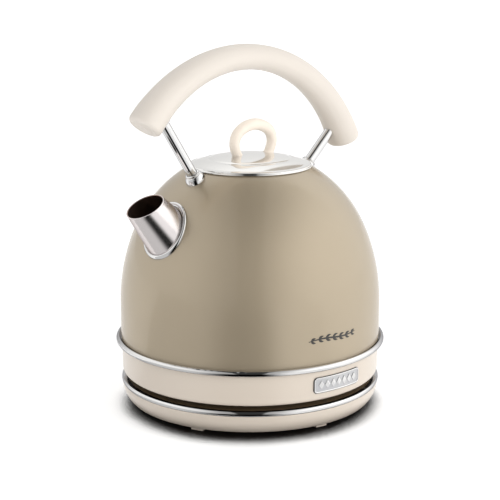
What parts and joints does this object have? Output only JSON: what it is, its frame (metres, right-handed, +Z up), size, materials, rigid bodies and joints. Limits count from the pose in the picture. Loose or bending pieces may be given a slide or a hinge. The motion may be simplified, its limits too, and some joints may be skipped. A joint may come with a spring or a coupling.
{
  "type": "electric kettle",
  "caption": "Domed electric kettle with an arched handle on two struts, short conical spout, lift-off lid with a loop knob, rear switch and round swivelling power base.",
  "frame": {"origin": "centre of the power base on the surface it stands on, within 2 mm of the middle of the bounding box's underside", "axes": "+Z up; the spout points towards -X, the switch and cord inlet are at +X, and the arched handle stands in the XZ plane"},
  "size_m": [0.2041, 0.19, 0.2517],
  "materials": {
    "taupe_paint": "gloss paint with fine metallic flake",
    "cream_plastic": "satin moulded plastic",
    "cream_grip": "soft matte moulded plastic",
    "cream_knob": "satin moulded plastic",
    "polished_chrome": "polished chrome plating",
    "polished_lid": "polished steel with a faint turned line",
    "brushed_spout": "brushed steel",
    "badge_metal": "satin with a bright border",
    "satin_steel": "satin steel",
    "zinc_steel": "zinc plated",
    "cast_aluminium": "as cast",
    "element_sheath": "heat-tinted sheath",
    "brass_contacts": "bare brass",
    "black_plastic": "fine moulded texture",
    "brown_plastic": "fine moulded texture",
    "rubber_pads": "matte rubber",
    "silicone": "translucent silicone",
    "filter_net": "fine woven wire",
    "amber_lens": "moulded lens"
  },
  "bodies": {
    "power_base": {"base_housing": "cream_plastic", "base_band": "polished_chrome", "base_bottom_plate": "cream_plastic", "cord_clamp": "black_plastic", "cord_gland": "black_plastic", "base_screws": "zinc_steel", "clamp_screws": "zinc_steel", "base_feet": "cream_plastic", "foot_pads": "rubber_pads", "base_connector": "black_plastic", "contact_rings": "brass_contacts", "contact_sleeve": "brass_contacts"},
    "swivel_socket": {"jug_connector": "black_plastic", "connector_blades": "brass_contacts"},
    "jug": {"jug_skirt": "cream_plastic", "jug_bottom_cover": "brown_plastic", "bead_ring": "polished_chrome", "jug_cover_screws": "zinc_steel", "floor_plate": "satin_steel", "heat_diffuser": "cast_aluminium", "heating_element": "element_sheath", "element_terminals": "zinc_steel", "control_unit": "black_plastic", "bimetal_discs": "brass_contacts", "steam_tube": "satin_steel", "switch_pin": "zinc_steel", "switch_bracket": "black_plastic", "indicator_lens": "amber_lens", "badge_plate": "badge_metal", "body_shell": "taupe_paint", "spout": "brushed_spout", "spout_collar": "brushed_spout", "filter_seat": "satin_steel", "handle_grip": "cream_grip", "grip_inserts": "brass_contacts", "front_strut": "polished_chrome", "front_ferrule": "polished_chrome", "rear_strut": "polished_chrome", "rear_ferrule": "polished_chrome", "strut_washers": "silicone", "strut_nuts": "zinc_steel"},
    "filter": {"filter_frame": "cream_plastic", "filter_mesh": "filter_net"},
    "lid": {"lid_cover": "polished_lid", "lid_pan": "satin_steel", "lid_seal": "silicone", "knob_screws": "zinc_steel", "lid_knob": "cream_knob"},
    "switch": {"power_switch": "cream_plastic"}
  },
  "joints": [
    {"name": "jug_lift", "type": "slide", "parent": "power_base", "child": "swivel_socket", "axis": [0, 0, 1], "range_m": [0, 0.12]},
    {"name": "jug_swivel", "type": "hinge", "parent": "swivel_socket", "child": "jug", "pos_m": [0, 0, 0.028], "axis": [0, 0, 1], "continuous": true},
    {"name": "lid_lift", "type": "slide", "parent": "jug", "child": "lid", "axis": [0, 0, 1], "range_m": [0, 0.03]},
    {"name": "filter_pull", "type": "slide", "parent": "jug", "child": "filter", "axis": [0.8788, 0, -0.4772], "range_m": [0, 0.02]},
    {"name": "switch_rock", "type": "hinge", "parent": "jug", "child": "switch", "pos_m": [0.082, 0, 0.033], "axis": [0, 1, 0], "range_deg": [0, 14]}
  ]
}
